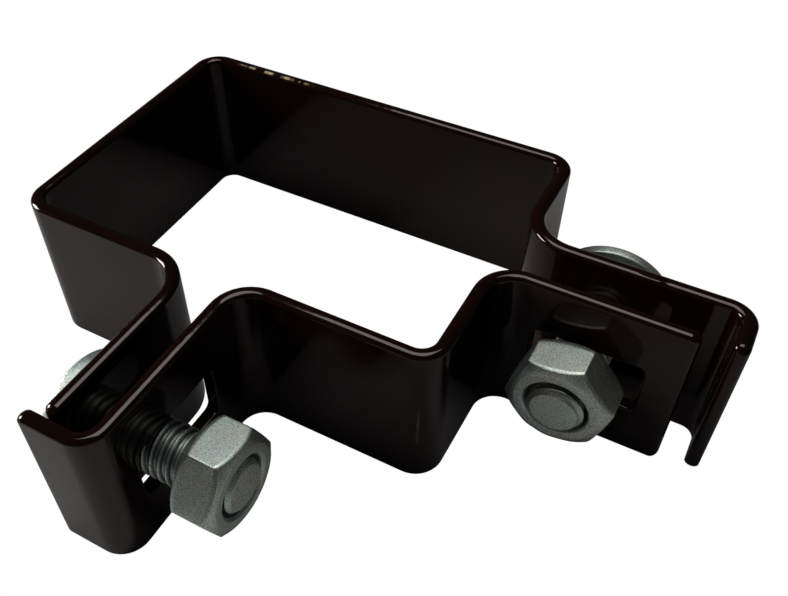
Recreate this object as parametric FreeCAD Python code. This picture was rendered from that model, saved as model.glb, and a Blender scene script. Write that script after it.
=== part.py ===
"""Angle post clamp: two folded steel straps round a 60 by 40 mm post, drawn together by two bolts.

The clamp stands on the lower edges of its straps. The origin is on the axis of the post, level with those
edges. X runs across the 60 mm side of the post, Y across its 40 mm side and Z up along it. The ears of the
straps stand out from the post in two pairs, one towards -Y and one towards +X. The wire of a fence panel
lies in the gap of each pair, held in by the hooked flange at its end. The clamp is modelled as it lies with
no wire in it and its nuts undone by a few turns: the front strap has slid a little along its slots, both bolt
heads stand off their ears, and the square neck of the right bolt is just out of its hole.
"""
import FreeCAD
import Part
import math
import os

Vector = FreeCAD.Vector
X = Vector(1, 0, 0)
Y = Vector(0, 1, 0)
Z = Vector(0, 0, 1)

# Post and strip
post_width = 60.0
post_depth = 40.0
post_clearance = 1.65
strip_width = 25.0
strip_thickness = 2.0
strip_edge_chamfer = 0.4
strip_corner_radius = 1.3
wall_bend_radius = 2.2
rear_ear_bend_radius = 5.4
front_ear_bend_radius = 3.7
flange_bend_radius = 2.0

# Bolt axes, measured outwards from the faces of the post
left_bolt_from_post = 21.5
right_bolt_from_post = 14.9

# Rear strap: ears measured from the middle of the post to the face at the gap, and lengths past the bolts
rear_left_ear_offset = 2.6
rear_right_ear_offset = 3.05
rear_left_ear_overrun = 8.6
rear_flange_from_bolt = 17.4
rear_flange_length = 8.65

# Front strap: the same in line with the rear strap, then how far it has slid
front_left_ear_offset = 3.4
front_right_ear_offset = 2.9
front_flange_from_bolt = 9.4
front_flange_length = 11.05
front_right_ear_overrun = 14.9
front_slide_x = -1.05
front_slide_y = 0.4

# Holes in the ears: square in the rear strap, slots in the front strap
hole_clearance = 0.25
hole_corner_radius = 0.6
slot_length = 15.5
slot_corner_radius = 1.0
left_slot_from_bolt = 2.35
right_slot_from_bolt = 2.15
hole_rim_chamfer = 0.25

# Bolts
thread_diameter = 8.0
thread_clearance = 0.05
bolt_length = 23.5
bolt_end_chamfer = 0.8
head_diameter = 17.5
head_height = 4.4
head_rim_height = 1.2
head_rim_chamfer = 0.3
neck_width = 8.0
neck_height = 4.6
neck_end_chamfer = 0.4
left_head_standoff = 2.7
right_head_standoff = 5.35

# Nuts
nut_width = 13.0
nut_height = 6.5
nut_face_diameter = 11.4
nut_chamfer_angle = 30.0
nut_mouth_chamfer = 0.65
left_bolt_end_proud = 0.2
right_bolt_end_proud = 0.9
left_nut_turn = -7.0
right_nut_turn = 11.0

# Places worked out from the sizes above
half_strip = strip_thickness / 2
half_inside_x = post_width / 2 + post_clearance
half_inside_y = post_depth / 2 + post_clearance
left_bolt_y = -post_depth / 2 - left_bolt_from_post
right_bolt_x = post_width / 2 + right_bolt_from_post
bolt_z = strip_width / 2 - hole_clearance
hole_width = neck_width + 2 * hole_clearance
front_slide = Vector(front_slide_x, front_slide_y, 0)


def left_of(direction):
    """Unit vector a quarter turn to the left of a level direction."""
    return Z.cross(direction).normalize()


def strip_outline(corners, inside_radii):
    """Closed face of a folded strip seen from above.

    corners are the ends of the strip's middle line and the points where its straight runs would cross.
    inside_radii are the radii on the inner side of the bends at those crossings.
    """
    loops = []
    for side in (1, -1):
        start = corners[0] + left_of(corners[1] - corners[0]) * half_strip * side
        edges = []
        for before, corner, after, inside in zip(corners, corners[1:], corners[2:], inside_radii):
            way_in = (corner - before).normalize()
            way_out = (after - corner).normalize()
            turn = math.copysign(1, way_in.cross(way_out).z)
            middle_radius = inside + half_strip
            reach = middle_radius * math.tan(way_in.getAngle(way_out) / 2)
            centre = corner - way_in * reach + left_of(way_in) * turn * middle_radius
            radius = middle_radius - half_strip * side * turn
            arc_start = centre - left_of(way_in) * turn * radius
            arc_middle = centre + (corner - centre).normalize() * radius
            arc_end = centre - left_of(way_out) * turn * radius
            edges.append(Part.LineSegment(start, arc_start).toShape())
            edges.append(Part.Arc(arc_start, arc_middle, arc_end).toShape())
            start = arc_end
        end = corners[-1] + left_of(corners[-1] - corners[-2]) * half_strip * side
        edges.append(Part.LineSegment(start, end).toShape())
        loops.append((edges, end))
    (left_edges, left_end), (right_edges, right_end) = loops
    first_cap = Part.LineSegment(left_edges[0].Vertexes[0].Point, right_edges[0].Vertexes[0].Point).toShape()
    last_cap = Part.LineSegment(left_end, right_end).toShape()
    wire = Part.Wire(Part.__sortEdges__([first_cap, last_cap] + left_edges + right_edges))
    return Part.Face(wire)


def is_sharp(edge, shape):
    """True where two faces of the shape meet at a real edge and not in a smooth seam."""
    middle = edge.valueAt((edge.FirstParameter + edge.LastParameter) / 2)
    normals = []
    for face in shape.ancestorsOfType(edge, Part.Face):
        u, v = face.Surface.parameter(middle)
        normals.append(face.normalAt(u, v))
    return len(normals) == 2 and normals[0].getAngle(normals[1]) > 0.1


def folded_strip(corners, inside_radii):
    """Strip folded along its middle line, with rounded corners at its ends and all its edges chamfered."""
    strip = strip_outline(corners, inside_radii).extrude(Z * strip_width)
    end_edges = []
    for tip, inner in ((corners[0], corners[1]), (corners[-1], corners[-2])):
        for edge in strip.Edges:
            level = abs(edge.BoundBox.ZLength) < 1e-6
            if level and abs((edge.CenterOfMass - tip).dot((tip - inner).normalize())) < 1e-6:
                end_edges.append(edge)
    strip = strip.makeFillet(strip_corner_radius, end_edges)
    return strip.makeChamfer(strip_edge_chamfer, [edge for edge in strip.Edges if is_sharp(edge, strip)])


def punch(strip, centre, normal, along, length, corner_radius):
    """Cut a rounded rectangular hole through an ear, and chamfer its rims."""
    across = normal.cross(along)
    corner = centre - along * length / 2 - across * hole_width / 2 - normal * strip_thickness
    outline = [corner, corner + along * length, corner + along * length + across * hole_width,
               corner + across * hole_width, corner]
    block = Part.Face(Part.makePolygon(outline)).extrude(normal * strip_thickness * 2)
    uprights = [edge for edge in block.Edges if abs(edge.tangentAt(edge.FirstParameter).dot(normal)) > 0.99]
    block = block.makeFillet(corner_radius, uprights)
    pierced = strip.cut(block)
    rims = []
    for edge in pierced.Edges:
        offset = edge.CenterOfMass - centre
        inside = abs(offset.dot(along)) < length / 2 + 1e-3 and abs(offset.dot(across)) < hole_width / 2 + 1e-3
        in_face = abs(abs(offset.dot(normal)) - half_strip) < 1e-3
        if inside and in_face:
            rims.append(edge)
    return pierced.makeChamfer(hole_rim_chamfer, rims)


def make_rear_strap():
    """Strap round the left, back and right of the post, with square holes for the necks of the bolts."""
    ear_x = -rear_left_ear_offset - half_strip
    ear_y = rear_right_ear_offset + half_strip
    flange_x = right_bolt_x + rear_flange_from_bolt + half_strip
    corners = [
        Vector(ear_x, left_bolt_y - rear_left_ear_overrun, 0),
        Vector(ear_x, -half_inside_y - half_strip, 0),
        Vector(-half_inside_x - half_strip, -half_inside_y - half_strip, 0),
        Vector(-half_inside_x - half_strip, half_inside_y + half_strip, 0),
        Vector(half_inside_x + half_strip, half_inside_y + half_strip, 0),
        Vector(half_inside_x + half_strip, ear_y, 0),
        Vector(flange_x, ear_y, 0),
        Vector(flange_x, ear_y + half_strip - rear_flange_length, 0),
    ]
    radii = [rear_ear_bend_radius] + [wall_bend_radius] * 3 + [rear_ear_bend_radius, flange_bend_radius]
    strap = folded_strip(corners, radii)
    middle_z = strip_width / 2
    strap = punch(strap, Vector(ear_x, left_bolt_y, middle_z), X, Y, hole_width, hole_corner_radius)
    return punch(strap, Vector(right_bolt_x, ear_y, middle_z), Y, X, hole_width, hole_corner_radius)


def make_front_strap():
    """Strap round the front and right of the post, with slots that let it slide along the panel's wire."""
    ear_x = front_left_ear_offset + half_strip
    ear_y = -front_right_ear_offset - half_strip
    flange_y = left_bolt_y - front_flange_from_bolt - half_strip
    corners = [
        Vector(ear_x + half_strip - front_flange_length, flange_y, 0),
        Vector(ear_x, flange_y, 0),
        Vector(ear_x, -half_inside_y - half_strip, 0),
        Vector(half_inside_x + half_strip, -half_inside_y - half_strip, 0),
        Vector(half_inside_x + half_strip, ear_y, 0),
        Vector(right_bolt_x + front_right_ear_overrun, ear_y, 0),
    ]
    radii = [flange_bend_radius, front_ear_bend_radius, wall_bend_radius, front_ear_bend_radius]
    strap = folded_strip(corners, radii)
    middle_z = strip_width / 2
    left_slot = Vector(ear_x, left_bolt_y + left_slot_from_bolt, middle_z)
    right_slot = Vector(right_bolt_x + right_slot_from_bolt, ear_y, middle_z)
    strap = punch(strap, left_slot, X, Y, slot_length, slot_corner_radius)
    strap = punch(strap, right_slot, Y, X, slot_length, slot_corner_radius)
    return strap.translated(front_slide)


def turned(points, closing):
    """Solid of revolution about Z from a half section in the XZ plane."""
    edges = [Part.LineSegment(a, b).toShape() for a, b in zip(points, points[1:])]
    return Part.Face(Part.Wire(Part.__sortEdges__(edges + closing))).revolve(Vector(), Z, 360)


def make_bolt():
    """Carriage bolt: its head's flat underside at the origin, the dome below it and the thread up along Z."""
    head_radius = head_diameter / 2
    dome_height = head_height - head_rim_height
    sphere_radius = (head_radius ** 2 + dome_height ** 2) / (2 * dome_height)
    half_angle = math.asin(head_radius / sphere_radius) / 2
    sphere_z = sphere_radius - head_height
    dome = Part.Arc(
        Vector(0, 0, -head_height),
        Vector(sphere_radius * math.sin(half_angle), 0, sphere_z - sphere_radius * math.cos(half_angle)),
        Vector(head_radius, 0, -head_rim_height),
    ).toShape()
    head = turned([
        Vector(head_radius, 0, -head_rim_height),
        Vector(head_radius, 0, -head_rim_chamfer),
        Vector(head_radius - head_rim_chamfer, 0, 0),
        Vector(),
        Vector(0, 0, -head_height),
    ], [dome])
    neck = Part.makeBox(neck_width, neck_width, neck_height, Vector(-neck_width / 2, -neck_width / 2, 0))
    neck_uprights = [edge for edge in neck.Edges if edge.BoundBox.ZLength > neck_height / 2]
    neck = neck.makeFillet(hole_corner_radius, neck_uprights)
    neck_end = [edge for edge in neck.Edges if edge.CenterOfMass.z > neck_height - 1e-6]
    neck = neck.makeChamfer(neck_end_chamfer, neck_end)
    shank_radius = thread_diameter / 2 - thread_clearance
    shank = turned([
        Vector(),
        Vector(shank_radius, 0, 0),
        Vector(shank_radius, 0, bolt_length - bolt_end_chamfer),
        Vector(shank_radius - bolt_end_chamfer, 0, bolt_length),
        Vector(0, 0, bolt_length),
        Vector(),
    ], [])
    return head.fuse([neck, shank]).removeSplitter()


def make_nut(turn):
    """Hexagon nut with its bearing face at the origin and a flat turned by the given angle from the top."""
    corner_radius = nut_width / 2 / math.cos(math.radians(30))
    corners = [Vector(corner_radius, 0, 0)]
    for step in range(1, 7):
        angle = math.radians(60 * step)
        corners.append(Vector(corner_radius * math.cos(angle), corner_radius * math.sin(angle), 0))
    prism = Part.Face(Part.makePolygon(corners)).extrude(Z * nut_height)
    face_radius = nut_face_diameter / 2
    drop = (corner_radius - face_radius) * math.tan(math.radians(nut_chamfer_angle))
    envelope = turned([
        Vector(),
        Vector(face_radius, 0, 0),
        Vector(corner_radius, 0, drop),
        Vector(corner_radius, 0, nut_height - drop),
        Vector(face_radius, 0, nut_height),
        Vector(0, 0, nut_height),
        Vector(),
    ], [])
    bore_radius = thread_diameter / 2
    mouth_radius = bore_radius + nut_mouth_chamfer
    bore = turned([
        Vector(),
        Vector(mouth_radius, 0, 0),
        Vector(bore_radius, 0, nut_mouth_chamfer),
        Vector(bore_radius, 0, nut_height - nut_mouth_chamfer),
        Vector(mouth_radius, 0, nut_height),
        Vector(0, 0, nut_height),
        Vector(),
    ], [])
    return prism.common(envelope).cut(bore).rotated(Vector(), Z, turn)


def laid(shape, start, axis):
    """Lay a fastener made up along Z down from start along a level axis, with its own Y axis pointing up."""
    rotation = FreeCAD.Rotation(Z.cross(axis), Z, axis)
    return shape.transformed(FreeCAD.Placement(start, rotation).toMatrix())


def main():
    """Build every piece of the clamp and write one file for each."""
    rear_left_face = -rear_left_ear_offset - strip_thickness
    left_head = Vector(rear_left_face - left_head_standoff, left_bolt_y, bolt_z)
    rear_right_face = rear_right_ear_offset + strip_thickness
    right_head = Vector(right_bolt_x, rear_right_face + right_head_standoff, bolt_z)
    nut_start = bolt_length - nut_height
    left_nut = laid(make_nut(left_nut_turn), left_head + X * (nut_start - left_bolt_end_proud), X)
    right_nut = laid(make_nut(right_nut_turn), right_head - Y * (nut_start - right_bolt_end_proud), -Y)
    nodes = {
        "rear_strap": make_rear_strap(),
        "front_strap": make_front_strap(),
        "bolts": Part.makeCompound([laid(make_bolt(), left_head, X), laid(make_bolt(), right_head, -Y)]),
        "nuts": Part.makeCompound([left_nut, right_nut]),
    }
    os.makedirs("parts", exist_ok=True)
    for name, shape in nodes.items():
        shape.exportStep("parts/" + name + ".step")
        print(name, "solids", len(shape.Solids), "valid", shape.isValid(), "volume", round(shape.Volume, 1))


main()
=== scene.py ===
# %% [markdown]
# # Dressing an angle post clamp
# The clamp grips a rectangular fence post at a corner. Two folded steel straps, coated glossy dark brown,
# wrap the post, and two zinc plated carriage bolts with hexagon nuts draw them together over the panel's
# wires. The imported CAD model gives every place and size. This script gives each piece its finer surface:
# crowned edges under the coat, real threads, softened nut corners, and a finish for each material.

# %% The frame and the units
import math

import bmesh
import bpy
import numpy as np
from mathutils import Euler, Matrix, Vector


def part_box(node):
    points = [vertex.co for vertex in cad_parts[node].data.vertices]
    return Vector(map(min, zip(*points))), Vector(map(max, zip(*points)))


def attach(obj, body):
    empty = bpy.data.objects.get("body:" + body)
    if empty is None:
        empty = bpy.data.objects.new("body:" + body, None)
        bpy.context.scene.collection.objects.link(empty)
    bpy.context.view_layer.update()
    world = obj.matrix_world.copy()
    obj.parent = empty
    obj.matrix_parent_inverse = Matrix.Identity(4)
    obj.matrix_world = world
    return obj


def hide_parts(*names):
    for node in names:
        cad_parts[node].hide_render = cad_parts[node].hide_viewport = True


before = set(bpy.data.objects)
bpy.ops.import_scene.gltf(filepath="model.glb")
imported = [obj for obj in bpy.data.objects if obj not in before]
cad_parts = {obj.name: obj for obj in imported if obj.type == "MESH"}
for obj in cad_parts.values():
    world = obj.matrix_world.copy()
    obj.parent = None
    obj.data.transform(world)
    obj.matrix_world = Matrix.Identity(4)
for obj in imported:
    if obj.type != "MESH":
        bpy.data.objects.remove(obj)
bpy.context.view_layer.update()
MM = 0.001


def node_box(node):
    """Lowest and highest corner of a CAD node, in millimetres."""
    low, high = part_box(node)
    return np.array(low) / MM, np.array(high) / MM


rear_low, rear_high = node_box("rear_strap")
front_low, front_high = node_box("front_strap")
bolts_low, bolts_high = node_box("bolts")
print("frame holds", sorted(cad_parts), "strip is", round(rear_high[2] - rear_low[2], 2), "mm wide")

# %% [markdown]
# ## One helper for every new surface
# All the new surfaces are grids: a shape is worked out as an array of rows and columns of points, and each
# small square of the grid becomes a face. Several grids can share a border. Their doubled points are
# merged, which also closes poles and seams, and then the faces are turned to point outwards.


# %% Grids to a mesh
def grid_faces(rows, columns):
    """Quads of a grid that is stored row after row, with its last column joined to its first."""
    row, column = np.meshgrid(np.arange(rows - 1), np.arange(columns), indexing="ij")
    here = row * columns + column
    right = row * columns + (column + 1) % columns
    return np.stack([here, right, right + columns, here + columns], axis=-1).reshape(-1, 4)


merge_distance = 0.0005 * MM


def build_piece(name, grids, material):
    """A closed smooth object from (points, faces) pairs. Points are in millimetres in the frame."""
    points, faces, start = [], [], 0
    for grid_points, grid_quads in grids:
        points.append(grid_points.reshape(-1, 3))
        faces.append(grid_quads + start)
        start += len(points[-1])
    mesh = bpy.data.meshes.new(name)
    mesh.from_pydata((np.concatenate(points) * MM).tolist(), [], np.concatenate(faces).tolist())
    work = bmesh.new()
    work.from_mesh(mesh)
    bmesh.ops.remove_doubles(work, verts=work.verts, dist=merge_distance)
    bmesh.ops.dissolve_degenerate(work, edges=work.edges, dist=merge_distance)
    bmesh.ops.recalc_face_normals(work, faces=work.faces)
    open_edges = sum(1 for edge in work.edges if not edge.is_manifold)
    work.to_mesh(mesh)
    work.free()
    mesh.polygons.foreach_set("use_smooth", np.ones(len(mesh.polygons), bool))
    mesh.materials.append(material)
    piece = bpy.data.objects.new(name, mesh)
    bpy.context.scene.collection.objects.link(piece)
    print(name, "has", len(mesh.polygons), "faces and", open_edges, "open edges")
    return piece


print("a grid of 3 rings of 4 points has", len(grid_faces(3, 4)), "faces")

# %% [markdown]
# ## The glossy coat
# Powder coat is a plastic skin baked onto the steel. It is smooth and glossy but never as flat as glass: it
# has a faint orange peel of ripples about two millimetres wide. The brown is so dark that the walls show
# mostly what they mirror, and the colour itself only comes out along the rims that face the light. A wide
# noise shifts the brown a little, a finer one makes the gloss slightly uneven, and a third bends the mirror
# images.


# %% Brown gloss coat
def new_material(name):
    """A node material that holds its output and a Principled shader, joined. Returns it and the shader."""
    material = bpy.data.materials.new(name)
    material.use_nodes = True
    nodes = material.node_tree.nodes
    nodes.clear()
    output = nodes.new("ShaderNodeOutputMaterial")
    shader = nodes.new("ShaderNodeBsdfPrincipled")
    material.node_tree.links.new(shader.outputs["BSDF"], output.inputs["Surface"])
    return material, shader


def add_noise(material, scale, detail, roughness=0.5):
    """A noise on object coordinates. Scale is in cells per metre."""
    nodes, links = material.node_tree.nodes, material.node_tree.links
    place = nodes.get("Texture Coordinate") or nodes.new("ShaderNodeTexCoord")
    noise = nodes.new("ShaderNodeTexNoise")
    noise.inputs["Scale"].default_value = scale
    noise.inputs["Detail"].default_value = detail
    noise.inputs["Roughness"].default_value = roughness
    links.new(place.outputs["Object"], noise.inputs["Vector"])
    return noise


def add_ramp(material, source, stops):
    """A colour ramp over a factor. Stops are (position, colour) pairs."""
    nodes, links = material.node_tree.nodes, material.node_tree.links
    ramp = nodes.new("ShaderNodeValToRGB")
    elements = ramp.color_ramp.elements
    while len(elements) < len(stops):
        elements.new(0.5)
    for element, (position, colour) in zip(elements, stops):
        element.position = position
        element.color = (*colour, 1.0)
    links.new(source, ramp.inputs["Fac"])
    return ramp


def vary_roughness(material, shader, noise, least, most):
    """Let a noise set the roughness of a shader between two values."""
    nodes, links = material.node_tree.nodes, material.node_tree.links
    span = nodes.new("ShaderNodeMapRange")
    span.inputs["To Min"].default_value = least
    span.inputs["To Max"].default_value = most
    links.new(noise.outputs["Fac"], span.inputs["Value"])
    links.new(span.outputs["Result"], shader.inputs["Roughness"])


def add_bump(material, shader, height, distance, strength, before=None):
    """A bump from a height, laid over an earlier bump where one is given. Distance is in metres."""
    nodes, links = material.node_tree.nodes, material.node_tree.links
    bump = nodes.new("ShaderNodeBump")
    bump.inputs["Distance"].default_value = distance
    bump.inputs["Strength"].default_value = strength
    links.new(height, bump.inputs["Height"])
    if before:
        links.new(before.outputs["Normal"], bump.inputs["Normal"])
    links.new(bump.outputs["Normal"], shader.inputs["Normal"])
    return bump


coat, coat_shader = new_material("brown_gloss_coat")
coat_nodes, coat_links = coat.node_tree.nodes, coat.node_tree.links
coat_shader.inputs["IOR"].default_value = 1.45
coat_shader.inputs["Specular Tint"].default_value = (1.0, 0.9, 0.87, 1)
coat_tint = add_noise(coat, scale=90.0, detail=3.0)
coat_browns = [(0.3, (0.005, 0.0013, 0.0007)), (0.7, (0.0085, 0.0022, 0.0012))]
coat_colour = add_ramp(coat, coat_tint.outputs["Fac"], coat_browns)
coat_gloss = add_noise(coat, scale=420.0, detail=4.0)
vary_roughness(coat, coat_shader, coat_gloss, least=0.06, most=0.11)
orange_peel = add_noise(coat, scale=480.0, detail=1.0)
peel_bump = add_bump(coat, coat_shader, orange_peel.outputs["Fac"], distance=0.00004, strength=0.5)
print("coat has", len(coat_nodes), "nodes")

# %% [markdown]
# Four small details are added to the coat. A row of painted glints, cream dashes of painted highlight, lies
# along the inner edge of the back wall's rim; a faint upright scuff and a small pale spot lie on the outside,
# and a drop has dried on the rim of the right ear. Each is bounded by an ellipsoid in the frame: its factor
# is 1 in the middle and falls to 0 at the ellipsoid's surface. The glints are dashes, because their noise is
# read along X alone, and the drop is a bump and no colour.


# %% Painted glints and marks in the coat
def add_spot(material, middle, reach, full=0.5):
    """Factor of an ellipsoid in millimetres, smooth from 0 at its surface to 1 at a share of the way in."""
    nodes, links = material.node_tree.nodes, material.node_tree.links
    mapping = nodes.new("ShaderNodeMapping")
    mapping.inputs["Scale"].default_value = 1 / (np.array(reach) * MM)
    mapping.inputs["Location"].default_value = -np.array(middle) / np.array(reach)
    length = nodes.new("ShaderNodeVectorMath")
    length.operation = "LENGTH"
    fade = nodes.new("ShaderNodeMapRange")
    fade.interpolation_type = "SMOOTHSTEP"
    fade.inputs["From Min"].default_value = 1.0
    fade.inputs["From Max"].default_value = 1 - full
    links.new(nodes["Texture Coordinate"].outputs["Object"], mapping.inputs["Vector"])
    links.new(mapping.outputs["Vector"], length.inputs[0])
    links.new(length.outputs["Value"], fade.inputs["Value"])
    return fade.outputs["Result"]


def add_math(material, operation, first, second):
    """A math node of two factors, either of which may be a plain number."""
    nodes, links = material.node_tree.nodes, material.node_tree.links
    math_node = nodes.new("ShaderNodeMath")
    math_node.operation = operation
    for socket, value in zip(math_node.inputs, (first, second)):
        if isinstance(value, float):
            socket.default_value = value
        else:
            links.new(value, socket)
    return math_node.outputs["Value"]


# painted highlight: cream dashes along the back rim's inner edge stand in for the gloss glinting there
glint_noise = add_noise(coat, scale=560.0, detail=1.0)
glint_noise_on_x = coat_nodes.new("ShaderNodeMapping")
glint_noise_on_x.inputs["Scale"].default_value = (1, 0, 0)
coat_links.new(coat_nodes["Texture Coordinate"].outputs["Object"], glint_noise_on_x.inputs["Vector"])
coat_links.new(glint_noise_on_x.outputs["Vector"], glint_noise.inputs["Vector"])
glint_dashes = add_ramp(coat, glint_noise.outputs["Fac"], [(0.47, (0, 0, 0)), (0.6, (1, 1, 1))])
glint_line = add_spot(coat, middle=(-19.3, 22.22, 24.95), reach=(9.0, 0.36, 0.4), full=0.6)
painted_glints = add_math(coat, "MULTIPLY", glint_line, glint_dashes.outputs["Color"])
scuff_noise = add_noise(coat, scale=1600.0, detail=2.0)
scuff_line = add_spot(coat, middle=(30.3, -22.8, 11.3), reach=(0.25, 0.5, 4.8))
scuff = add_math(coat, "MULTIPLY", scuff_line, scuff_noise.outputs["Fac"])
speck = add_spot(coat, middle=(-18.1, -21.65, 14.7), reach=(0.25, 0.25, 0.25))
faint_share = 0.3
faint_marks = add_math(coat, "MULTIPLY", add_math(coat, "ADD", scuff, speck), faint_share)
glints_and_marks = add_math(coat, "ADD", painted_glints, faint_marks)
# the painted glints, the scuff and the pale spot are mixed into the brown as pale cream
glint_and_mark_mix = coat_nodes.new("ShaderNodeMix")
glint_and_mark_mix.data_type = "RGBA"
glint_and_mark_cream = (0.5, 0.4, 0.26, 1)
glint_and_mark_mix.inputs["B"].default_value = glint_and_mark_cream
coat_links.new(glints_and_marks, glint_and_mark_mix.inputs["Factor"])
coat_links.new(coat_colour.outputs["Color"], glint_and_mark_mix.inputs["A"])
coat_links.new(glint_and_mark_mix.outputs["Result"], coat_shader.inputs["Base Color"])
drop = add_spot(coat, middle=(50.6, 3.4, 24.9), reach=(2.4, 0.8, 0.8), full=1.0)
add_bump(coat, coat_shader, drop, distance=0.00016, strength=1.0, before=peel_bump)
print("coat with its marks has", len(coat_nodes), "nodes")

# %% [markdown]
# ## The zinc plating
# Bright zinc over pressed steel is grey with a hint of green. It is rough enough to blur what it mirrors,
# and it is finely speckled where its crystals catch the light or miss it. A noise with cells an eighth of a
# millimetre wide gives the speckle in both colour and bump. A wide noise drifts between a warm and a cool
# grey, another clouds the gloss, and a painted shade darkens the grooves of the threads and the nuts' mouths
# by how deep they lie, most at the middle of a flank and less at the root.

# %% Zinc plating
zinc, zinc_shader = new_material("zinc_plating")
zinc_nodes, zinc_links = zinc.node_tree.nodes, zinc.node_tree.links
zinc_shader.inputs["Metallic"].default_value = 1.0
zinc_speckle = add_noise(zinc, scale=7500.0, detail=2.0, roughness=0.7)
zinc_greys = [(0.36, (0.18, 0.21, 0.2)), (0.47, (0.7, 0.77, 0.73)), (0.7, (0.92, 0.99, 0.95))]
zinc_colour = add_ramp(zinc, zinc_speckle.outputs["Fac"], zinc_greys)
zinc_drift = add_noise(zinc, scale=160.0, detail=2.0)
zinc_tint = add_ramp(zinc, zinc_drift.outputs["Fac"], [(0.4, (1.0, 0.96, 0.91)), (0.6, (0.96, 1.0, 1.0))])
# painted shade: the plating is darkened by how deep each point lies in a thread groove or a nut's mouth
groove = zinc_nodes.new("ShaderNodeAttribute")
groove.attribute_name = "groove"
painted_groove_shade_greys = [(0.1, (1, 1, 1)), (0.55, (0.15, 0.15, 0.15)), (0.9, (0.7, 0.7, 0.7))]
painted_groove_shade = add_ramp(zinc, groove.outputs["Fac"], painted_groove_shade_greys)
zinc_base = zinc_colour.outputs["Color"]
for factor in (zinc_tint, painted_groove_shade):
    product = zinc_nodes.new("ShaderNodeMix")
    product.data_type, product.blend_type = "RGBA", "MULTIPLY"
    product.inputs["Factor"].default_value = 1
    zinc_links.new(zinc_base, product.inputs["A"])
    zinc_links.new(factor.outputs["Color"], product.inputs["B"])
    zinc_base = product.outputs["Result"]
zinc_links.new(zinc_base, zinc_shader.inputs["Base Color"])
zinc_cloud = add_noise(zinc, scale=350.0, detail=3.0)
vary_roughness(zinc, zinc_shader, zinc_cloud, least=0.38, most=0.52)
add_bump(zinc, zinc_shader, zinc_speckle.outputs["Fac"], distance=0.00003, strength=0.6)
print("zinc has", len(zinc_nodes), "nodes")

# %% [markdown]
# ## A folded strip
# A strap is a flat strip bent at a few corners, so its surface is a section carried along a line. The line
# is known from the places where the straight runs would cross and from the radius of each bend. The section
# is a rectangle with rounded ends. Near the free ends of the strip it is squeezed together, which rounds
# the corners and the end in one go.


# %% The line of a strip
half_thick = 1.0
stations_per_bend = 17
longest_step = 1.5


def folded_line(corners, inside_radii, wanted):
    """Stations along a strip's middle line.

    The line is a chain of straight runs and arcs. A station a length l past the start of a piece that starts
    at heading h and turns at rate k lies l sin(kl/2)/(kl/2) along heading h + kl/2, which is the chord of its
    arc. wanted are lengths along the line that must be stations, counted from the start. Returns the
    stations' lengths, points and unit vectors to the left.
    """
    corners = np.asarray(corners, float)
    legs = np.diff(corners, axis=0)
    headings = np.arctan2(legs[:, 1], legs[:, 0])
    turns = (np.diff(headings) + np.pi) % (2 * np.pi) - np.pi
    radii = np.asarray(inside_radii, float) + half_thick
    # a bend takes this much off the runs on both sides of it
    reach = radii * np.tan(np.abs(turns) / 2)
    runs = np.hypot(*legs.T) - np.append(reach, 0) - np.insert(reach, 0, 0)
    pieces = [(runs[0], headings[0], 0.0)]
    for turn, radius, run, heading_before, heading in zip(turns, radii, runs[1:], headings, headings[1:]):
        pieces += [(abs(turn) * radius, heading_before, np.sign(turn) / radius), (run, heading, 0.0)]
    lengths, starts, rates = np.array(pieces).T
    begin = np.insert(np.cumsum(lengths), 0, 0)
    stations = [np.asarray(wanted, float)]
    for first, last, rate in zip(begin, begin[1:], rates):
        straight_stations = max(2, int((last - first) / longest_step))
        stations.append(np.linspace(first, last, stations_per_bend if rate else straight_stations))
    stations = np.unique(np.clip(np.round(np.concatenate(stations), 6), 0, round(begin[-1], 6)))

    def along(start_points, piece, past):
        """Points the given lengths past the starts of their pieces."""
        half = rates[piece] * past / 2
        heading = starts[piece] + half
        chord = past * np.sinc(half / np.pi)
        return start_points + chord[:, None] * np.stack([np.cos(heading), np.sin(heading)], 1)

    steps = along(np.zeros((len(lengths), 2)), np.arange(len(lengths)), lengths)
    piece_starts = corners[:1] + np.insert(np.cumsum(steps, axis=0), 0, 0, axis=0)[:-1]
    piece = np.clip(np.searchsorted(begin, stations, side="right") - 1, 0, len(lengths) - 1)
    past = stations - begin[piece]
    points = along(piece_starts[piece], piece, past)
    heading = starts[piece] + rates[piece] * past
    left = np.stack([-np.sin(heading), np.cos(heading)], 1)
    return stations, points, left


quarter_turn = folded_line([(0, 0), (10, 0), (10, 10)], [2], [])
print("a quarter turn between two runs has", len(quarter_turn[0]), "stations")

# %% The section of a strip
strip_width = rear_high[2] - rear_low[2]
crown_height = 0.6
flat_rows = 15
crown_rows = 19
even_row_reach = 0.992


def strip_section():
    """Loop of (across, up) points round the strip: up the left face, over, down the right face and back.

    Each edge is crowned: it is half an ellipse as wide as the strip is thick. The rows of the flat faces that
    lie next to it are close together, so that the faces stay flat in the shading.
    """
    inner = strip_width / 2 - crown_height
    even = np.linspace(-1, 1, flat_rows - 2)
    flat = inner * np.concatenate([[-1], even * even_row_reach, [1]])
    arc = np.linspace(0, np.pi, crown_rows)[1:-1]
    left_face = np.stack([np.full(flat_rows, half_thick), flat], 1)
    crown = np.stack([half_thick * np.cos(arc), inner + crown_height * np.sin(arc)], 1)
    half_loop = np.concatenate([left_face, crown])
    return np.concatenate([half_loop, -half_loop]), flat


section, flat_heights = strip_section()
print("section has", len(section), "points")

# %% [markdown]
# ## The holes
# Each ear has a hole: square for the neck of a bolt, or a slot to slide along. The grid of the strip is
# left open round the hole, and a second grid fills the opening. It runs from the border in to the rim, over
# the rounded rim and through the wall to the other face.


# %% A face with a hole
points_per_side = flat_rows - 1
corner_share = 0.2
straight_share = 1 - 2 * corner_share


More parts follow.
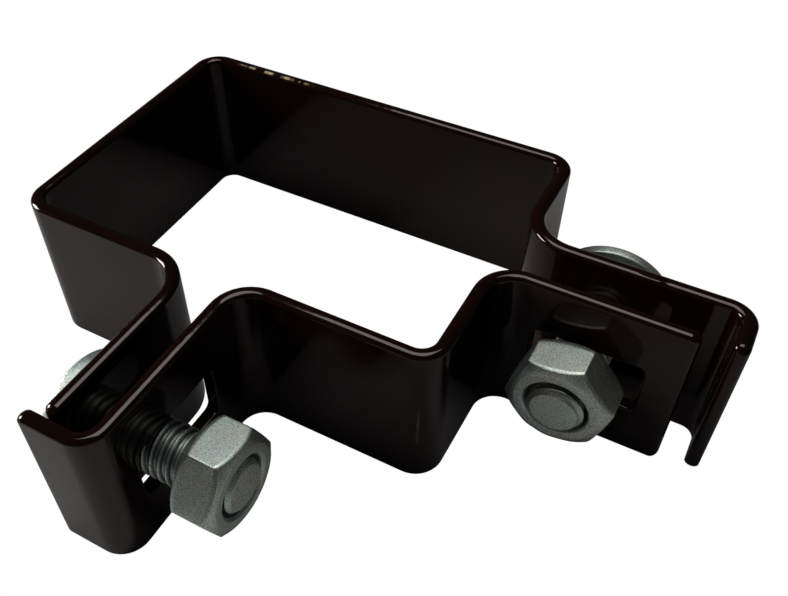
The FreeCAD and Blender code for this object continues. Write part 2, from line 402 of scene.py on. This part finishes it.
def rounded_outline(half_length, half_height, corner):
    """Loop of points on a rounded rectangle, side by side from the middle of a corner to that of the next.

    A fifth of each side's points goes to the half corner at either end and the rest to its straight part.
    """
    fraction = np.linspace(0, 1, points_per_side, endpoint=False)
    loop = []
    for quarter, (reach, height) in enumerate([(half_length, half_height), (half_height, half_length)] * 2):
        first = np.clip(fraction / corner_share, 0, 1) * np.pi / 4
        last = np.clip((fraction - (1 - corner_share)) / corner_share, 0, 1) * np.pi / 4
        middle = np.clip((fraction - corner_share) / straight_share, 0, 1)
        angle = -3 * np.pi / 4 + first + last
        x = (2 * middle - 1) * (reach - corner) + corner * np.cos(angle)
        y = -(height - corner) + corner * np.sin(angle)
        turn = quarter * np.pi / 2
        loop.append(np.stack([x * np.cos(turn) - y * np.sin(turn), x * np.sin(turn) + y * np.cos(turn)], 1))
    return np.concatenate(loop)


rim_radius = 0.3
rim_rows = 6
face_mixes = (0, 0.35, 0.65, 0.85, 0.96)
wall_row_share = 0.9


def hole_grid(border, hole_middle, half_length, half_height, corner):
    """Grid from a rectangular border on one face, through the hole, to the same border on the other face.

    border is a loop of (length, height) points. A point of the grid is a mix of its border point and its
    point on the hole's outline, and the outline narrows by a quarter circle as it turns over the rim.
    """

    def outline(grown):
        """The hole's outline, moved outwards by a length."""
        return hole_middle + rounded_outline(half_length + grown, half_height + grown, corner + grown)

    rim = outline(rim_radius)
    rows = [(border * (1 - mix) + rim * mix, half_thick) for mix in face_mixes]
    for angle in np.linspace(0, np.pi / 2, rim_rows):
        grown = rim_radius * (1 - np.sin(angle))
        rows.append((outline(grown), half_thick - rim_radius * (1 - np.cos(angle))))
    rows.append((rows[-1][0], wall_row_share * rows[-1][1]))
    rows += [(loop, -across) for loop, across in rows[::-1]]
    return np.array([np.column_stack([loop, np.full(len(loop), across)]) for loop, across in rows])


print("a hole's outline has", len(rounded_outline(4, 4, 1)), "points")

# %% A strap with its holes
end_corner_radius = 1.3
end_stations = 12
hole_margin = 1.2
tolerance = 1e-5


def quarter_circle(share):
    """Height of a quarter circle of radius 1 that rises from 0 at share 0 to 1 at share 1 and stays there."""
    return np.sqrt(1 - (1 - np.clip(share, 0, 1)) ** 2)


def strap_grids(corners, inside_radii, holes):
    """Grids of a folded strip with holes.

    holes are (length of the middle along the line, height, half length, half height, corner radius). Within
    the last bit of each free end the section is drawn in: its width by a circle of the corner radius, and its
    thickness by a circle as wide as the strip is thick.
    """
    total = folded_line(corners, inside_radii, [])[0][-1]
    near_end = end_corner_radius * (1 - np.cos(np.linspace(0, np.pi / 2, end_stations)))
    wanted = [near_end, total - near_end]
    spans = []
    for middle, _, half_length, _, _ in holes:
        spans.append((middle - half_length - hole_margin, middle + half_length + hole_margin))
        wanted.append(np.linspace(*spans[-1], flat_rows))
    stations, points, left = folded_line(corners, inside_radii, np.concatenate(wanted))
    # in the span of a hole only the stations of the hole's border stay
    keep = np.ones(len(stations), bool)
    for first, last in spans:
        inside = (stations > first + tolerance) & (stations < last - tolerance)
        keep &= ~inside | np.isin(np.round(stations, 5), np.round(np.linspace(first, last, flat_rows), 5))
    stations, points, left = stations[keep], points[keep], left[keep]

    to_end = np.minimum(stations, total - stations)
    width_share = 1 - end_corner_radius / (strip_width / 2) * (1 - quarter_circle(to_end / end_corner_radius))
    thick_share = quarter_circle(to_end / half_thick)
    across = section[:, 0] * thick_share[:, None]
    height = strip_width / 2 + section[:, 1] * width_share[:, None]
    level = points[:, None, :] + across[..., None] * left[:, None, :]
    surface = np.concatenate([level, height[..., None]], axis=-1)

    # the strip's flat faces in a span make room for the hole's own grid
    faces = grid_faces(len(stations), len(section))
    row, column = faces[:, 0] // len(section), faces[:, 0] % len(section)
    half = len(section) // 2
    on_flat = (column % half) < flat_rows - 1
    dropped = np.zeros(len(faces), bool)
    grids = []
    for (middle, hole_height, half_length, half_height, corner), (first, last) in zip(holes, spans):
        in_span = (stations[row] > first - tolerance) & (stations[row] < last - tolerance)
        dropped |= in_span & on_flat
        lengths = np.linspace(first, last, flat_rows)
        heights = strip_width / 2 + flat_heights
        border = np.concatenate([
            np.stack([lengths[:-1], np.full(points_per_side, heights[0])], 1),
            np.stack([np.full(points_per_side, last), heights[:-1]], 1),
            np.stack([lengths[:0:-1], np.full(points_per_side, heights[-1])], 1),
            np.stack([np.full(points_per_side, first), heights[:0:-1]], 1),
        ])
        hole = hole_grid(border, np.array([middle, hole_height]), half_length, half_height, corner)
        start = np.argmin(np.abs(stations - first))
        end = np.argmin(np.abs(stations - last))
        share = (hole[..., 0] - first) / (last - first)
        middle_line = points[start] + share[..., None] * (points[end] - points[start])
        place = np.concatenate([middle_line + hole[..., 2:] * left[start], hole[..., 1:2]], axis=-1)
        grids.append((place, grid_faces(*place.shape[:2])))
    return [(surface, faces[~dropped])] + grids


plain_strip = strap_grids([(0, 0), (10, 0), (10, 10)], [2], [])
print("a plain strip with one bend has", len(plain_strip[0][1]), "faces")

# %% [markdown]
# ## The two straps
# The straps' corner points come from the frame's boxes, with the few inner places that a box can't tell as
# named values. The rear strap starts at its left ear, goes round the post and ends in the hooked flange on
# the right. The front strap starts at its own hooked flange on the left and ends as the plain right ear.

# %% Corner points and holes
rear_wall_bend, rear_ear_bend, flange_bend, front_ear_bend = 2.2, 5.4, 2.0, 3.7
rear_left_ear_x = -3.6
rear_right_ear_y = 4.05
rear_flange_end_y = -3.6
front_left_ear_x = 3.35
front_wall_y = -22.25
front_right_wall_x = 31.6

bolt_height = (bolts_low[2] + bolts_high[2]) / 2
head_radius = (bolts_high[2] - bolts_low[2]) / 2
left_bolt_y = bolts_low[1] + head_radius
right_bolt_x = bolts_high[0] - head_radius
square_half, square_corner = 4.25, 0.6
slot_half, slot_corner = 7.75, 1.0
left_slot_y = left_bolt_y + 2.75
right_slot_x = right_bolt_x + 1.1

rear_left_x, rear_back_y = rear_low[0] + half_thick, rear_high[1] - half_thick
front_right_ear_y = front_high[1] - half_thick
rear_corners = [
    (rear_left_ear_x, rear_low[1]),
    (rear_left_ear_x, -rear_back_y),
    (rear_left_x, -rear_back_y),
    (rear_left_x, rear_back_y),
    (-rear_left_x, rear_back_y),
    (-rear_left_x, rear_right_ear_y),
    (rear_high[0] - half_thick, rear_right_ear_y),
    (rear_high[0] - half_thick, rear_flange_end_y),
]
front_corners = [
    (front_low[0], front_low[1] + half_thick),
    (front_left_ear_x, front_low[1] + half_thick),
    (front_left_ear_x, front_wall_y),
    (front_right_wall_x, front_wall_y),
    (front_right_wall_x, front_right_ear_y),
    (front_high[0], front_right_ear_y),
]
rear_radii = [rear_ear_bend, rear_wall_bend, rear_wall_bend, rear_wall_bend, rear_ear_bend, flange_bend]
front_radii = [flange_bend, front_ear_bend, rear_wall_bend, front_ear_bend]

# every 0.05 mm, to beyond the end of either strap
search_stations = np.linspace(0, 400, 8001)


def hole_at(corners, radii, target, half_length, corner):
    """A hole for strap_grids at half the strip's height, at the station nearest to a point."""
    stations, points, _ = folded_line(corners, radii, search_stations)
    along = stations[np.argmin(np.hypot(*(points - target).T))]
    return along, strip_width / 2, half_length, square_half, corner


rear_holes = [
    hole_at(rear_corners, rear_radii, (rear_left_ear_x, left_bolt_y), square_half, square_corner),
    hole_at(rear_corners, rear_radii, (right_bolt_x, rear_right_ear_y), square_half, square_corner),
]
front_holes = [
    hole_at(front_corners, front_radii, (front_left_ear_x, left_slot_y), slot_half, slot_corner),
    hole_at(front_corners, front_radii, (right_slot_x, front_right_ear_y), slot_half, slot_corner),
]
for strap_name, holes in (("rear", rear_holes), ("front", front_holes)):
    print(strap_name, "holes lie", [round(float(hole[0]), 2) for hole in holes], "mm along the line")

# %% Rear and front strap
rear_strap = build_piece("rear_strap_coated", strap_grids(rear_corners, rear_radii, rear_holes), coat)
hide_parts("rear_strap")
front_strap = build_piece("front_strap_coated", strap_grids(front_corners, front_radii, front_holes), coat)
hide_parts("front_strap")
for strap in (rear_strap, front_strap):
    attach(strap, "root")

# %% [markdown]
# ## Carriage bolts
# A carriage bolt is turned and pressed from one rod, so one grid of rings serves for all of it: the dome,
# its rim, the flat underside, the square neck, the thread and the end. Each ring has a radius for every
# angle. The square neck is a superellipse, and the thread is a radius that depends on height and angle
# together.

# %% Thread and bolt sizes
thread_radius, thread_pitch = 3.95, 1.25
thread_depth = 0.61 * thread_pitch
head_height, rim_height, rim_round = 4.4, 1.2, 0.6
neck_half, neck_height, neck_chamfer, neck_power = 4.0, 4.6, 0.4, 15
bolt_length, end_chamfer = 23.5, 0.8
under_round = 0.3
underside_rings = [head_radius - 0.6, 6.5]
rings_per_turn = 14
crest_width, flank_width, root_rounding = 0.125, 0.65, 0.18


def thread_surface(angle, height):
    """Radius of a screw thread: a flat crest an eighth of the pitch wide, straight flanks and a rounded root.

    The share of a pitch at a point is its height over the pitch less its angle over a full turn.
    """
    share = (height / thread_pitch - angle / (2 * np.pi)) % 1.0
    from_crest = 1 - np.abs(2 * share - 1)
    depth = np.clip((from_crest - crest_width) / flank_width, 0, 1)
    return thread_radius - thread_depth * (depth - root_rounding * depth ** 4)


print("thread is", round(thread_depth * (1 - root_rounding), 2), "mm deep at its root")

# %% Rings of a bolt
UP = np.array([0.0, 0.0, 1.0])


def lay_down(rings, start, axis):
    """Points of a fastener made along Z, laid down from start along a level axis with its own Y upwards."""
    axis = np.asarray(axis, float)
    sideways = np.cross(UP, axis)
    return np.asarray(start) + rings @ np.stack([sideways, UP, axis])


def rings_to_points(angle, radius, height):
    """Points of rings from their angles, radii and heights."""
    radius, height = np.broadcast_arrays(radius, height)
    return np.stack([radius * np.cos(angle), radius * np.sin(angle), height], axis=-1)


def bolt_rings(around=96):
    """Rings of a bolt with its underside at height 0 and its thread upwards."""
    angle = np.linspace(0, 2 * np.pi, around, endpoint=False)
    one = np.ones(around)
    # the dome is part of a sphere, grown by the rim's rounding so that the two meet without a kink
    base = head_radius - rim_round
    cap = head_height - rim_height - rim_round
    sphere = (base ** 2 + cap ** 2) / (2 * cap)
    lean = math.asin(base / sphere)
    tilt = np.linspace(0, lean, 18)
    dome_r = (sphere + rim_round) * np.sin(tilt)
    dome_z = -rim_height - cap + sphere - (sphere + rim_round) * np.cos(tilt)
    roll = np.linspace(lean, np.pi / 2, 8)[1:]
    upper_r = base + rim_round * np.sin(roll)
    upper_z = -rim_height - rim_round * np.cos(roll)
    fold = np.linspace(0, np.pi / 2, 6)
    lower_r = head_radius - under_round + under_round * np.cos(fold)
    lower_z = -under_round + under_round * np.sin(fold)
    profile_r = np.concatenate([dome_r, upper_r, lower_r, underside_rings])
    profile_z = np.concatenate([dome_z, upper_z, lower_z, [0, 0]])
    radius = profile_r[:, None] * one
    height = profile_z[:, None] * one

    cosine_part, sine_part = np.abs(np.cos(angle)) ** neck_power, np.abs(np.sin(angle)) ** neck_power
    square = neck_half / (cosine_part + sine_part) ** (1 / neck_power)
    neck_z = np.array([0, 0.15, neck_height - neck_chamfer, neck_height - 0.5 * neck_chamfer, neck_height])
    neck_in = np.array([-0.15, 0, 0, 0.5, 1])[:, None] * neck_chamfer
    neck_r = np.maximum(square - neck_in, thread_radius)

    # the thread runs out into a cone of 45 degrees at its end
    rise = np.arange(neck_height + 0.02, bolt_length, thread_pitch / rings_per_turn)[:, None] * one
    end_radius = thread_radius - end_chamfer
    cone = end_radius + (bolt_length - rise)
    screw_r = np.minimum(thread_surface(angle, rise), cone)
    end_r = np.array([end_radius, end_radius - 0.25, 1.5, 0])[:, None] * one
    end_z = np.array([bolt_length - 0.02, bolt_length, bolt_length, bolt_length])[:, None] * one
    radius = np.concatenate([radius, neck_r, screw_r, end_r])
    height = np.concatenate([height, neck_z[:, None] * one, rise, end_z])
    return rings_to_points(angle, radius, height)


print("a bolt is made of", len(bolt_rings()), "rings")

# %% [markdown]
# ## Hexagon nuts
# A nut is a ring whose outside is a hexagon with its corners pressed down at both ends, and whose bore is
# the same thread as the bolt's with a little air. The hexagon's radius at each angle is a formula in
# cosines that keeps the corners slightly rounded. The bevel drops little over the middle of a flat and far
# at a corner, which gives each flat its rounded outline, and the rings follow that line so that it stays
# crisp.

# %% Nut rings
nut_half_width, nut_height, nut_face_radius = 6.5, 6.5, 5.7
nut_drop, nut_corner_drop = 0.42, 1.15
mouth_radius, thread_air = 4.65, 0.05
corner_power, crowding = 110, 0.85
drop_power, slope_power = 1.4, 1.3


def nut_rings(top, turn, around=192):
    """Closed rings of a nut with its outer face at a height on its bolt, turned by an angle in degrees.

    The hexagon's radius is the half width over the sum of the cosines to a high power, taken back to the
    root. The angles crowd together at the corners, where the outline turns.
    """
    bottom = top - nut_height
    even = np.linspace(0, 2 * np.pi, around, endpoint=False)
    own = even - crowding * np.sin(6 * even) / 6
    flats = np.radians([30, 90, 150])[:, None]
    hexagon = nut_half_width / (np.abs(np.cos(own - flats)) ** corner_power).sum(0) ** (1 / corner_power)
    angle = own + math.radians(turn)
    one = np.ones(around)
    to_corner = (hexagon - nut_half_width) / (hexagon.max() - nut_half_width)
    drop = nut_drop + (nut_corner_drop - nut_drop) * to_corner ** drop_power

    # the bore, with a cone of 45 degrees at either mouth
    rise = np.arange(bottom, top, thread_pitch / rings_per_turn)[:, None] * one
    mouth = mouth_radius - np.minimum(top - rise, rise - bottom)
    bore = np.maximum(thread_surface(angle, rise) + thread_air, mouth)
    # the outer face, the bevel and the flats, and the same again in reverse
    face = np.array([mouth_radius + 0.03, mouth_radius + 0.15, nut_face_radius - 0.12])[:, None] * one
    share = np.array([0, 0.12, 0.35, 0.6, 0.85, 1.0])[:, None]
    slope_r = nut_face_radius + (hexagon - nut_face_radius) * share
    slope_z = top - drop * share ** slope_power
    side = np.array([0.12, 0.5, 0.88])[:, None]
    side_z = (top - drop) - side * (nut_height - 2 * drop)
    upper_r = np.concatenate([face, slope_r])
    upper_z = np.concatenate([top * np.ones_like(face), slope_z])
    radius = np.concatenate([bore, upper_r, hexagon * np.ones_like(side_z), upper_r[::-1], bore[:1]])
    height = np.concatenate([rise, upper_z, side_z, bottom + top - upper_z[::-1], rise[:1]])
    return rings_to_points(angle, radius, height)


print("a nut is made of", len(nut_rings(nut_height, 0)), "rings")

# %% [markdown]
# Each bolt has a start under its head, an axis, the length by which its end stands proud of the nut, and
# the angle by which the nut is turned, as the photograph shows them. Every point of the fasteners also
# keeps how deep it lies in a thread, and the plating takes a painted shade by it.

# %% Bolts and nuts in place
left_head_x = bolts_low[0] + head_height
right_head_y = bolts_high[1] - head_height
neck_margin, end_margin, radius_margin = 0.1, 0.6, 0.01
fasteners = [
    (np.array([left_head_x, left_bolt_y, bolt_height]), np.array([1, 0, 0]), 0.2, -7.0),
    (np.array([right_bolt_x, right_head_y, bolt_height]), np.array([0, -1, 0]), 0.9, 11.0),
]


def mark_grooves(piece):
    """Keep at each point how deep it lies below the crest of the thread, as a share of the thread's depth.

    The thread ends at the bolt's chamfer, so the end, the neck and the head stay clear of it, and so do all
    points further from a bolt's axis than the crest, except in the mouths of the nuts.
    """
    points = np.empty(len(piece.data.vertices) * 3)
    piece.data.vertices.foreach_get("co", points)
    points = points.reshape(-1, 3) / MM
    depth = np.zeros(len(points))
    for start, axis, end_proud, _ in fasteners:
        past = (points - start) @ axis
        radius = np.linalg.norm(points - start - past[:, None] * axis, axis=1)
        past_neck = past > neck_height + neck_margin
        before_end = past < bolt_length - max(end_proud, end_margin)
        in_thread = past_neck & before_end & (radius < mouth_radius + radius_margin)
        in_nut = past > bolt_length - nut_height - end_proud
        # in a nut's mouth the depth is held at half the thread's, where the painted shade is near its darkest
        below_mouth = np.minimum(mouth_radius - radius, 0.5 * thread_depth)
        below = np.where(in_nut, below_mouth, thread_radius - radius)
        depth = np.maximum(depth, in_thread * below / thread_depth)
    # the depth sets the painted shade of the plating in the grooves and the nuts' mouths
    piece.data.attributes.new("groove", "FLOAT", "POINT").data.foreach_set("value", np.clip(depth, 0, 1))


bolt_grids, nut_grids = [], []
for start, axis, end_proud, turn in fasteners:
    bolt = lay_down(bolt_rings(), start, axis)
    bolt_grids.append((bolt, grid_faces(*bolt.shape[:2])))
    nut = lay_down(nut_rings(bolt_length - end_proud, turn), start, axis)
    nut_grids.append((nut, grid_faces(*nut.shape[:2])))
bolts = build_piece("carriage_bolts", bolt_grids, zinc)
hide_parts("bolts")
nuts = build_piece("hexagon_nuts", nut_grids, zinc)
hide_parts("nuts")
for fastener in (bolts, nuts):
    mark_grooves(fastener)
    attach(fastener, "root")

# %% [markdown]
# ## Floor, light and camera
# The clamp lies on a plain white floor under two soft windows, one above it and one low on its left. The
# coat mirrors them only along the rims and bends, and its walls show the floor. The camera stands where the
# photograph's perspective puts it, in front of the clamp, to its right and well above it.


# %% Floor
def show_white(owner, grey, target):
    """Show the lens pure white, and leave the grey shader to light the clamp and be mirrored in it."""
    nodes, links = owner.node_tree.nodes, owner.node_tree.links
    path = nodes.new("ShaderNodeLightPath")
    white = nodes.new("ShaderNodeEmission")
    mix = nodes.new("ShaderNodeMixShader")
    links.new(path.outputs["Is Camera Ray"], mix.inputs["Fac"])
    links.new(grey, mix.inputs[1])
    links.new(white.outputs["Emission"], mix.inputs[2])
    links.new(mix.outputs["Shader"], target)


floor_size = 3.0
floor_mesh = bpy.data.meshes.new("floor")
edge = floor_size / 2
floor_points = [(-edge, -edge, 0), (edge, -edge, 0), (edge, edge, 0), (-edge, edge, 0)]
floor_mesh.from_pydata(floor_points, [], [(0, 1, 2, 3)])
floor = bpy.data.objects.new("floor", floor_mesh)
bpy.context.scene.collection.objects.link(floor)
paper, paper_shader = new_material("white_paper")
paper_shader.inputs["Base Color"].default_value = (0.42, 0.41, 0.4, 1)
paper_shader.inputs["Roughness"].default_value = 0.9
show_white(paper, paper_shader.outputs["BSDF"], paper.node_tree.nodes["Material Output"].inputs["Surface"])
floor_mesh.materials.append(paper)
print("floor is", floor_size, "m wide")


# %% Lights
def add_light(name, place, aim, size, power):
    """A soft rectangular light at a place, turned to shine at an aim. Lengths are metres, power is watts."""
    data = bpy.data.lights.new(name, "AREA")
    data.shape = "RECTANGLE"
    data.size, data.size_y = size
    data.energy = power
    lamp = bpy.data.objects.new(name, data)
    direction = np.asarray(aim, float) - np.asarray(place, float)
    level = math.hypot(direction[0], direction[1])
    lamp.location = place
    pitch = math.pi / 2 - math.atan2(-direction[2], level)
    heading = math.atan2(-direction[0], direction[1])
    lamp.rotation_euler = Euler((pitch, 0, heading))
    bpy.context.scene.collection.objects.link(lamp)


add_light("top_window", place=(-0.05, 0.11, 0.5), aim=(-0.05, 0.1101, 0), size=(0.29, 0.26), power=0.83)
add_light("left_window", place=(-0.47, -0.14, 0.24), aim=(0, 0, 0), size=(0.2, 0.2), power=2.8)
world = bpy.data.worlds.new("studio")
bpy.context.scene.world = world
world.use_nodes = True
sky = world.node_tree.nodes["Background"]
sky.inputs["Color"].default_value = (1, 1, 1, 1)
sky.inputs["Strength"].default_value = 0.03
show_white(world, sky.outputs["Background"], world.node_tree.nodes["World Output"].inputs["Surface"])
bpy.context.scene.view_settings.view_transform = "Standard"
print("lights hold", len(bpy.data.lights), "windows")

# %% Camera
camera_data = bpy.data.cameras.new("camera")
camera_data.sensor_width = 36.0
camera_data.lens = 40.1757
camera_data.shift_x, camera_data.shift_y = 0.04581, 0.01428
camera = bpy.data.objects.new("camera", camera_data)
camera.location = (0.057502, -0.085608, 0.104304)
camera.rotation_euler = Euler((math.radians(43.9026), math.radians(0.6969), math.radians(28.9789)))
camera_data.clip_start = 0.005
bpy.context.scene.collection.objects.link(camera)
bpy.context.scene.camera = camera
print("camera is", round(camera.location.z, 3), "m above the floor")
